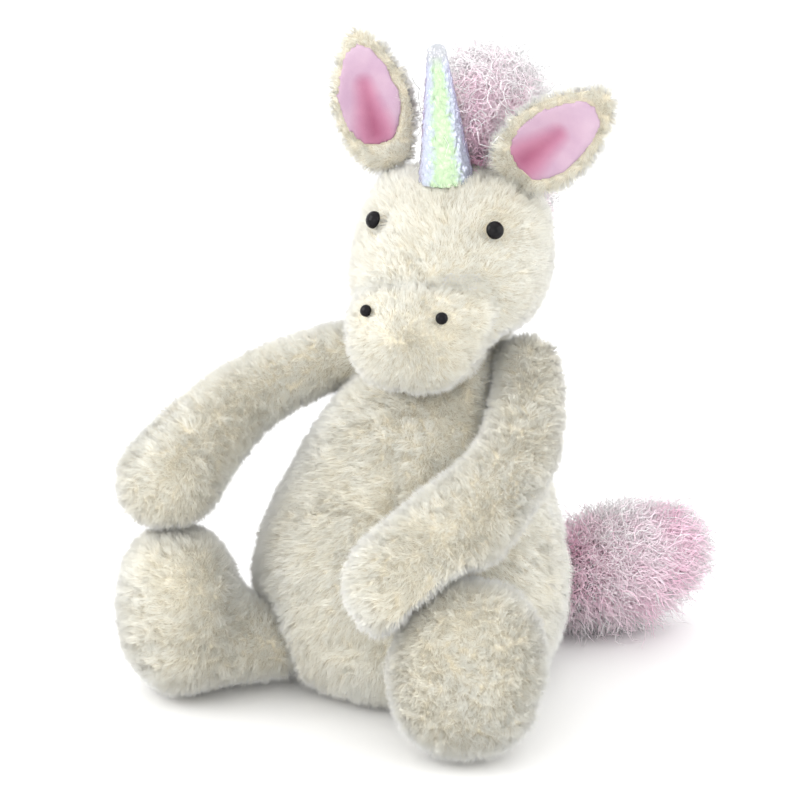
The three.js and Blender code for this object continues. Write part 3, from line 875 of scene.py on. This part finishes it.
def bead(name, rise, radius):
    """A glossy dome with a rolled edge, on the axis from its washer through its CAD bead."""
    cad = points_of(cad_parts[name])
    axis = unit(cad.mean(0) - points_of(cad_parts[f"{name}_washer"]).mean(0))
    apex = cad[np.argmax(cad @ axis)]
    centre = cad.mean(0)
    apex = centre + axis * ((apex - centre) @ axis - BEAD_SINK * MM)
    profile = []
    for step in range(13):
        turn = math.pi / 2 * step / 12
        profile.append((math.sin(turn) ** 0.9 * radius, rise * (math.cos(turn) - 1)))
    profile += [(radius, -rise - 0.5), (radius * 0.86, -rise - 1.0), (radius * 0.3, -rise - 1.3)]
    frame_z = Vector(axis)
    frame_x = frame_z.orthogonal().normalized()
    frame_y = frame_z.cross(frame_x)
    sides, verts, faces = 40, [], []
    for r, h in profile:
        for k in range(sides):
            turn = 2 * math.pi * k / sides
            verts.append(
                Vector(apex)
                + (frame_x * math.cos(turn) + frame_y * math.sin(turn)) * max(r, 0.02) * MM
                + frame_z * h * MM
            )
    for ring in range(len(profile) - 1):
        for k in range(sides):
            a, b = ring * sides + k, ring * sides + (k + 1) % sides
            faces.append((a + sides, b + sides, b, a))
    faces.append(tuple(range(sides)))
    last = (len(profile) - 1) * sides
    faces.append(tuple(last + k for k in reversed(range(sides))))
    made = mesh_object(f"{name}_bead", verts, faces)
    made.data.materials.append(BEAD)
    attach(made, "head")
    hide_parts(name)
    return np.array(apex) - axis * rise * MM, axis


beads = [bead(f"{side}_eye", *EYE_DOME) for side in ("left", "right")]
nostrils = [bead(f"{side}_nostril", *NOSTRIL_DOME) for side in ("left", "right")]
for group, radius, depth in ((beads, 9, 1.6), (nostrils, 6, 1.0)):
    for centre, _ in group:
        dent(head_skin, centre / MM, radius, depth)


def clear_of_beads(points):
    free = np.ones(len(points), bool)
    for group, radius in ((beads, 3.1 * MM), (nostrils, 1.9 * MM)):
        for centre, axis in group:
            off = points - centre
            across = np.linalg.norm(off - (off @ axis)[:, None] * axis, axis=1)
            free &= ~((across < radius) & (np.abs(off @ axis) < 8 * MM))
    return free


def trimmed_at_beads(points):
    """Pile is short beside the eyes and nostrils, and short over the muzzle."""
    size = np.ones(len(points))
    for group, reach in ((beads, 6.5 * MM), (nostrils, 4.2 * MM)):
        for centre, _ in group:
            away = np.linalg.norm(points - centre, axis=1)
            size = np.minimum(size, 0.5 + 0.5 * np.clip((away - reach) / (6 * MM), 0, 1))
    muzzle = np.linalg.norm(points - np.array((10, -14, 152)) * MM, axis=1)
    return size * (0.85 + 0.15 * np.clip((muzzle - 30 * MM) / (15 * MM), 0, 1))


# ------------------------------------------------------------------ horn


def horn():
    axis = HORN_TIP - HORN_BASE
    length = axis.length
    up = axis.normalized()
    # front points toward the camera. The painted reflection bands of the film are turned to face
    # it.
    front = Vector((math.sin(math.radians(27)), -math.cos(math.radians(27)), 0))
    front = (front - up * front.dot(up)).normalized()
    side = up.cross(front)
    rings, sides = 150, 120
    turns, heights = np.meshgrid(np.arange(sides) / sides, np.linspace(0, 1, rings))
    angle = turns.ravel() * 2 * math.pi
    height = heights.ravel()
    radius = HORN_RADII[0] + (HORN_RADII[1] - HORN_RADII[0]) * height**0.96
    cap = np.clip((height - 0.955) / 0.045, 0, 1)
    radius = radius * np.sqrt(1 - 0.97 * cap**2)
    rim = np.exp(-((height / 0.05) ** 2))
    place = np.stack([np.cos(angle) * 0.012, np.sin(angle) * 0.012, height * length], axis=1)
    crinkle = 0.16 * waves(place, 260, 71) + 0.12 * waves(place, 520, 72)
    pleats = 0.35 * rim * np.sin(angle * 17 + 2 * np.sin(angle * 3))
    seam_line = -0.5 * np.exp(-(((turns.ravel() - 0.93) / 0.012) ** 2))
    radius = radius + (crinkle * (1 - cap) + pleats + seam_line) * MM
    around = np.cos(angle)[:, None] * np.array(front) + np.sin(angle)[:, None] * np.array(side)
    rising = np.outer(height * length, np.array(up))
    verts = np.array(HORN_BASE) + around * radius[:, None] + rising
    verts = verts - np.outer(rim * 1.2 * MM, np.array(up))
    faces = []
    for ring in range(rings - 1):
        for k in range(sides):
            a, b = ring * sides + k, ring * sides + (k + 1) % sides
            faces.append((a, b, b + sides, a + sides))
    faces.append(tuple(reversed(range(sides))))
    faces.append(tuple((rings - 1) * sides + k for k in range(sides)))
    made = mesh_object("horn_sleeve", verts, faces)
    band = made.data.attributes.new("band", "FLOAT", "POINT")
    shift = (turns.ravel() + 0.5) % 1.0
    band.data.foreach_set("value", shift.astype(np.float32))
    rise = made.data.attributes.new("along", "FLOAT", "POINT")
    rise.data.foreach_set("value", height.astype(np.float32))
    made.data.materials.append(HORN_FILM)
    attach(made, "head")
    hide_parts("horn_cover")


horn()


# ------------------------------------------------------------------ pile of torso and head


def outside_of(skins, depth):
    def keep(points):
        free = np.ones(len(points), bool)
        for skin in skins:
            free &= inside_depth(skin, points) < depth * MM
        return free

    return keep


pile("torso_pile", "torso", torso_skin, BODY_PILE, combed((0, 0, -1)), 11,
     keep=outside_of([*limb_skins.values(), head_skin], 1.5), shorter=trims["torso"])


pile("neck_pile", "neck", neck_skin, NECK_PILE, combed((0, 0.4, -0.6)), 131,
     keep=outside_of([head_skin, torso_skin], 9))


def head_lay(points):
    """From the nose over the face, then back over the head."""
    away = unit(points - np.array(NOSE) * MM)
    return away + np.array((0, 0.4, -0.25))


def head_keep(points):
    horn_base = np.array(HORN_BASE)
    clear_horn = np.linalg.norm(points - horn_base, axis=1) > 9.6 * MM
    return clear_of_beads(points) & clear_horn & outside_of([torso_skin], 5)(points)


pile("head_pile", "head", head_skin, FACE_PILE, head_lay, 23, keep=head_keep,
     shorter=lambda points: trimmed_at_beads(points) * trims["head"](points))

for seed, (limb, skin) in enumerate(limb_skins.items()):
    side, part = limb.split("_")
    path = (ARM_PATHS if part == "arm" else LEG_PATHS)[side]
    pile(f"{limb}_pile", limb, skin, LIMB_PILE, along_path(path), 41 + 10 * seed,
         keep=outside_of([torso_skin], 5), shorter=trims[limb])


# Where a cover is cut thin for a limb's travel, its filling stands outside the skin,
# so pile grows there too
for seed, (body, skin) in enumerate(skins.items()):
    pile(f"{body}_thin_pile", body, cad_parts[f"{body}_stuffing"], BODY_PILE,
         combed((0, 0.2, -1)), 151 + 10 * seed,
         keep=lambda points, skin=skin: inside_depth(skin, points) <= 0)


# ------------------------------------------------------------------ ears


def sized_flat(obj):
    """Length and width of a thin piece along its own main directions, in metres."""
    co = points_of(obj)
    centred = co - co.mean(0)
    _, _, rows = np.linalg.svd(centred, full_matrices=False)
    spans = np.ptp(centred @ rows.T, axis=0)
    return float(spans[0]), float(spans[1])


def ear(side):
    data = EARS[side]
    base, tip = (np.array(data[k], float) * MM for k in ("base", "tip"))
    body = f"{side}_ear"
    skin = grown_from(f"{side}_ear_skin", [f"{side}_ear_back", f"{side}_ear_lining"], 1.4 * MM)
    relax(skin, 4, 0.5, 0.3)
    set_points(skin, points_of(skin) - normals_of(skin) * 1.1 * MM)
    relax(skin, 2, 0.4)
    reach = np.clip((points_of(skin) - base) @ unit(tip - base) / np.linalg.norm(tip - base), 0, 1)
    tuck = np.clip((EAR_TUCK_SHARE - reach) / EAR_TUCK_SHARE, 0, 1)[:, None]
    set_points(skin, points_of(skin) - unit(tip - base) * tuck * EAR_TUCK * MM)
    skin.data.materials.append(CREAM_SKIN)
    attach(skin, body)
    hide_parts(f"{side}_ear_back")

    lining = grown_from(f"{side}_ear_velour", [f"{side}_ear_lining"], 1.0 * MM)
    relax(lining, 5, 0.5, 0.4)
    span = unit(tip - base)
    fold = np.array([base + (tip - base) * t for t in (0.12, 0.3, 0.52)])
    co = points_of(lining)
    centre = co.mean(0)
    out_of_ear = unit(centre - points_of(skin).mean(0))
    line = fold + out_of_ear * ((centre - fold.mean(0)) @ out_of_ear)
    near = np.exp(-((path_distance(co, line) / (2.6 * MM)) ** 2))[:, None]
    set_points(lining, co + out_of_ear * (0.5 - 0.9 * near) * MM)
    run = np.clip((co - base) @ span / np.linalg.norm(tip - base), 0, 1)
    # along is lowest along the fold and toward the ear's root, where the velour's painted shade is
    # darkest.
    along = np.clip(path_distance(co, line) / (15 * MM), 0, 1) * (0.45 + 0.55 * run)
    along = np.clip(along + 0.35 * np.clip(run - 0.25, 0, 1), 0, 1)
    shade = lining.data.attributes.new("along", "FLOAT", "POINT")
    shade.data.foreach_set("value", along.astype(np.float32))
    lining.data.materials.append(VELOUR)
    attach(lining, body)
    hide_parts(f"{side}_ear_lining")
    length, width = sized_flat(lining)
    0.5 * area_of(lining)

    lining_tree = bvh_of(lining)

    def apart_from_lining(points):
        return np.array([lining_tree.find_nearest(Vector(p))[3] for p in points])

    def keep(points):
        return apart_from_lining(points) > 1.3 * MM

    def lay(points):
        """Outward to the rim, and beside the lining in over its edge."""
        outward = unit(points - (base + np.outer((points - base) @ span, span)))
        turn = np.clip((apart_from_lining(points) - 2.2 * MM) / (2 * MM), -0.35, 0.6)
        return outward * turn[:, None] + 0.35 * span

    def shorter(points):
        return 0.6 + 0.4 * np.clip((apart_from_lining(points) - 1.5 * MM) / (3 * MM), 0, 1)

    pile(f"{side}_ear_pile", body, skin, EAR_PILE, lay, 71 if side == "left" else 81,
         keep=keep, shorter=shorter, clump=0.4)


ear("left")
ear("right")


# ------------------------------------------------------------------ mane and tail


def curls(name, body, skin, count, length, coil, width, seed, droop=0.0, lay=None, keep=None,
          wild=0.09, material=PINK_PILE):
    """Long squiggly yarn ends. coil is the radius of the squiggle in millimetres."""
    rng = np.random.default_rng(seed)
    root, normal = scatter(skin, count, rng)
    if keep is not None:
        chosen = keep(root)
        root, normal = root[chosen], normal[chosen]
    count = len(root)
    size = length * MM * rng.uniform(0.55, 1.1, count)
    loose = rng.random(count) < wild
    size = np.where(loose, size * 1.4, size)
    course = unit(normal + 0.55 * rng.normal(size=(count, 3)) + (0 if lay is None else lay(root)))
    across = unit(np.cross(course, rng.normal(size=(count, 3))))
    other = np.cross(course, across)
    phase = rng.uniform(0, 2 * math.pi, count)
    turns = rng.uniform(0.8, 2.0, count) * rng.choice([-1, 1], count)
    reach = coil * MM * rng.uniform(0.5, 1.3, count) * np.where(loose, 1.5, 1.0)
    levels, rows = CURL_LEVELS, []
    for level in range(levels):
        t = level / (levels - 1)
        swing = phase + turns * 2 * math.pi * t
        grown = np.minimum(1.0, t * 2.5)
        offset = (
            np.cos(swing)[:, None] * across + np.sin(swing)[:, None] * other
        ) * (reach * grown)[:, None]
        bend = np.zeros((count, 3))
        bend[:, 2] = -droop * size * t * t
        rows.append(root - normal * MM + course * (size * t)[:, None] + offset + bend)
    rows = np.stack(rows)
    rows[:, :, 2] = np.maximum(rows[:, :, 2], 0.6 * MM + 0.8 * MM * rng.random(count)[None])
    side = unit(rng.normal(size=(count, 3)))
    thick = width * MM / 2 * rng.uniform(0.6, 1.5, count)
    run = np.repeat(np.linspace(0, 1, levels)[:, None], count, axis=1)
    shade = [unit(normal + 0.5 * unit(r - root) + 0.3 * rng.normal(size=(count, 3))) for r in rows]
    radii = [thick * (1 - 0.35 * level / levels) for level in range(levels - 1)]
    in_parts(name, body, material, rows, run, radii, side, shade,
             rng.random(count))


def curl_base(name, body, cad, inset):
    skin = grown_from(name, [cad], 3 * MM)
    relax(skin, 6, 0.5, 0.3)
    set_points(skin, points_of(skin) - normals_of(skin) * inset * MM)
    relax(skin, 3, 0.4)
    skin.data.materials.append(PINK_SKIN)
    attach(skin, body)
    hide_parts(cad)
    return skin


mane_skin = curl_base("mane_base", "head", "mane_pile", 5.5)
tail_skin = curl_base("tail_base", "tail", "tail_pile", 7.0)
TAIL_LAY = np.array((0.62, 0.62, 0.25))


def tail_lay(points):
    """Toward the tail's tip, and near its root back against the body."""
    run = (points - np.array((25, 54, 28)) * MM) @ TAIL_LAY / (60 * MM)
    return np.clip(4 * run - 1.2, -0.6, 2.2)[:, None] * TAIL_LAY


def mane_lay(points):
    """Up over the crown, then down and out to the left side at the back of the neck."""
    low = np.clip((215 * MM - points[:, 2]) / (20 * MM), 0, 1)[:, None]
    return (1 - low) * np.array((0, 0, 0.35)) + low * np.array((0.6, 0.35, -0.5))


curls("mane_curls", "head", mane_skin, 19000, 13.0, 2.2, 0.30, 101, lay=mane_lay,
      keep=outside_of([head_skin], 1.0))
curls("tail_curls", "tail", tail_skin, 20000, 16.4, 1.5, 0.32, 103, droop=0.15, lay=tail_lay,
      keep=outside_of([torso_skin], 1.0))


curls("mane_wisps", "head", mane_skin, 1800, 21.0, 3.4, 0.30, 105, lay=mane_lay,
      keep=outside_of([head_skin], 1.0), material=PALE_PILE)
curls("tail_wisps", "tail", tail_skin, 1500, 17.0, 2.2, 0.32, 107, lay=tail_lay,
      keep=outside_of([torso_skin], 1.0), material=PALE_PILE)


# Short curls on the strips that the mane and the tail are sewn to, so neither shows bare
curls("tail_root_curls", "tail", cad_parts["tail_core"], 3500, 9.0, 1.6, 0.32, 109,
      keep=outside_of([torso_skin], 1.0))
curls("mane_edge_curls", "head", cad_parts["mane_backing"], 4500, 9.0, 1.8, 0.30, 111,
      keep=outside_of([head_skin], 1.0))


# ------------------------------------------------------------------ hidden CAD pieces

INNER = {
    "stuffing": FIBRE,
    "pellet_bag": PELLETS,
    "washer": WASHER,
    "mane_backing": PINK_SKIN,
    "tail_core": PINK_SKIN,
}
for name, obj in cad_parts.items():
    for word, material in INNER.items():
        if name.endswith(word):
            obj.data.materials.clear()
            obj.data.materials.append(material)

add_camera()
add_studio()
